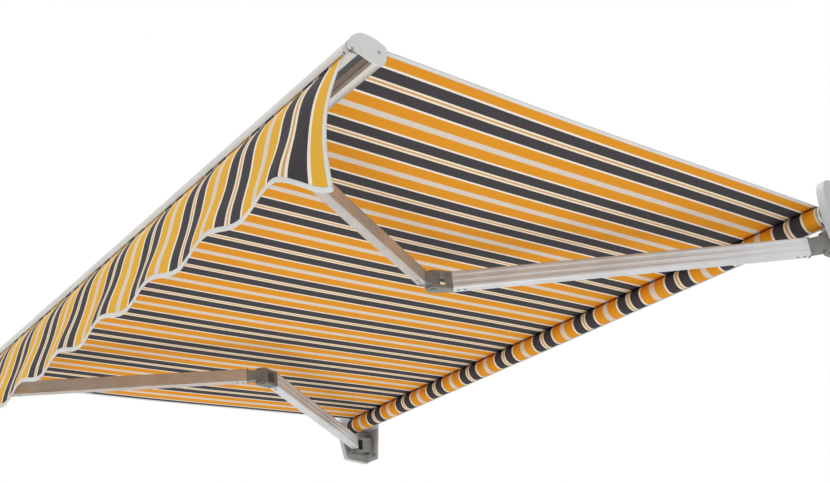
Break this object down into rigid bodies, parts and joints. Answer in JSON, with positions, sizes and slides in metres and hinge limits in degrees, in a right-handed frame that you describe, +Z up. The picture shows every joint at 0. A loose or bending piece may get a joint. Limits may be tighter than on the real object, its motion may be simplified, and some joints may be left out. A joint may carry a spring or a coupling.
{
  "type": "electric folding-arm awning",
  "caption": "Wall-mounted open awning: motor roller, sprung folding arms, front bar, striped cloth and scalloped valance; it lets out and winds in.",
  "frame": {"origin": "middle of the awning on the wall plane, at the height of the roller axis", "axes": "+X along the wall to the right seen from the front, -Y out from the wall, +Z up"},
  "size_m": [3.026, 2.2808, 0.7979],
  "materials": {
    "anodised_aluminium": "satin silver anodised extrusion",
    "cast_aluminium": "dull grey die casting",
    "zinc_steel": "zinc plated",
    "grey_plastic": "light grey moulding",
    "bracket_paint": "grey powder coat",
    "dark_plastic": "dark grey moulding",
    "striped_cloth": "woven, striped",
    "hem_binding": "light grey woven tape"
  },
  "bodies": {
    "frame": {"torsion_bar": "anodised_aluminium", "left_bracket": "bracket_paint", "right_bracket": "bracket_paint", "left_bracket_cover": "grey_plastic", "right_bracket_cover": "grey_plastic", "left_shoulder_base": "cast_aluminium", "right_shoulder_base": "cast_aluminium", "left_shoulder_pin": "zinc_steel", "right_shoulder_pin": "zinc_steel", "left_pitch_bolt": "zinc_steel", "right_pitch_bolt": "zinc_steel", "idler_bush": "dark_plastic", "motor_body": "zinc_steel", "motor_head": "dark_plastic", "canopy": "striped_cloth"},
    "roller": {"roller_tube": "anodised_aluminium", "fabric_roll": "striped_cloth", "idler_plug": "grey_plastic", "motor_crown": "grey_plastic", "drive_wheel": "dark_plastic"},
    "left_upper_arm": {"left_shoulder_knuckle": "cast_aluminium", "left_upper_arm": "anodised_aluminium", "left_elbow_fork": "cast_aluminium", "left_elbow_pin": "zinc_steel", "left_spring_anchor": "zinc_steel", "left_arm_spring": "zinc_steel", "left_arm_cable": "zinc_steel"},
    "left_forearm": {"left_elbow_knuckle": "cast_aluminium", "left_forearm": "anodised_aluminium", "left_front_eye": "cast_aluminium"},
    "right_upper_arm": {"right_shoulder_knuckle": "cast_aluminium", "right_upper_arm": "anodised_aluminium", "right_elbow_fork": "cast_aluminium", "right_elbow_pin": "zinc_steel", "right_spring_anchor": "zinc_steel", "right_arm_spring": "zinc_steel", "right_arm_cable": "zinc_steel"},
    "right_forearm": {"right_elbow_knuckle": "cast_aluminium", "right_forearm": "anodised_aluminium", "right_front_eye": "cast_aluminium"},
    "front_bar": {"front_bar": "anodised_aluminium", "left_end_cap": "grey_plastic", "right_end_cap": "grey_plastic", "left_front_bracket": "cast_aluminium", "right_front_bracket": "cast_aluminium", "left_front_pin": "zinc_steel", "right_front_pin": "zinc_steel", "cloth_rod": "dark_plastic", "valance_rod": "dark_plastic", "valance": "striped_cloth", "valance_binding": "hem_binding"}
  },
  "joints": [
    {"name": "left_shoulder", "type": "hinge", "parent": "frame", "child": "left_upper_arm", "pos_m": [-1.456, -0.12, -0.103], "axis": [0, -0.1271, 0.9919], "range_deg": [0, 48.6], "deforming": ["canopy"]},
    {"name": "left_elbow", "type": "hinge", "parent": "left_upper_arm", "child": "left_forearm", "pos_m": [-0.57441, -1.21149, -0.24282], "axis": [0, -0.1271, 0.9919], "range_deg": [-104.81, 0]},
    {"name": "left_front_hinge", "type": "hinge", "parent": "left_forearm", "child": "front_bar", "pos_m": [-1.126, -2.13248, -0.3608], "axis": [0, -0.1271, 0.9919], "range_deg": [0, 56.21]},
    {"name": "right_shoulder", "type": "hinge", "parent": "frame", "child": "right_upper_arm", "pos_m": [1.456, -0.12, -0.103], "axis": [0, -0.1271, 0.9919], "range_deg": [-48.6, 0]},
    {"name": "right_elbow", "type": "hinge", "parent": "right_upper_arm", "child": "right_forearm", "pos_m": [0.57441, -1.21149, -0.24282], "axis": [0, -0.1271, 0.9919], "range_deg": [0, 104.81]},
    {"name": "roller_spin", "type": "hinge", "parent": "frame", "child": "roller", "pos_m": [0, -0.13, 0], "axis": [-1, 0, 0], "range_deg": [0, 2728.9]}
  ],
  "couplings": [
    {"joint": "left_elbow", "follows": "left_shoulder", "ratio": -2.1564},
    {"joint": "left_front_hinge", "follows": "left_shoulder", "ratio": 1.1564},
    {"joint": "right_shoulder", "follows": "left_shoulder", "ratio": -1},
    {"joint": "right_elbow", "follows": "left_shoulder", "ratio": 2.1564},
    {"joint": "roller_spin", "follows": "left_shoulder", "ratio": 56.13}
  ]
}
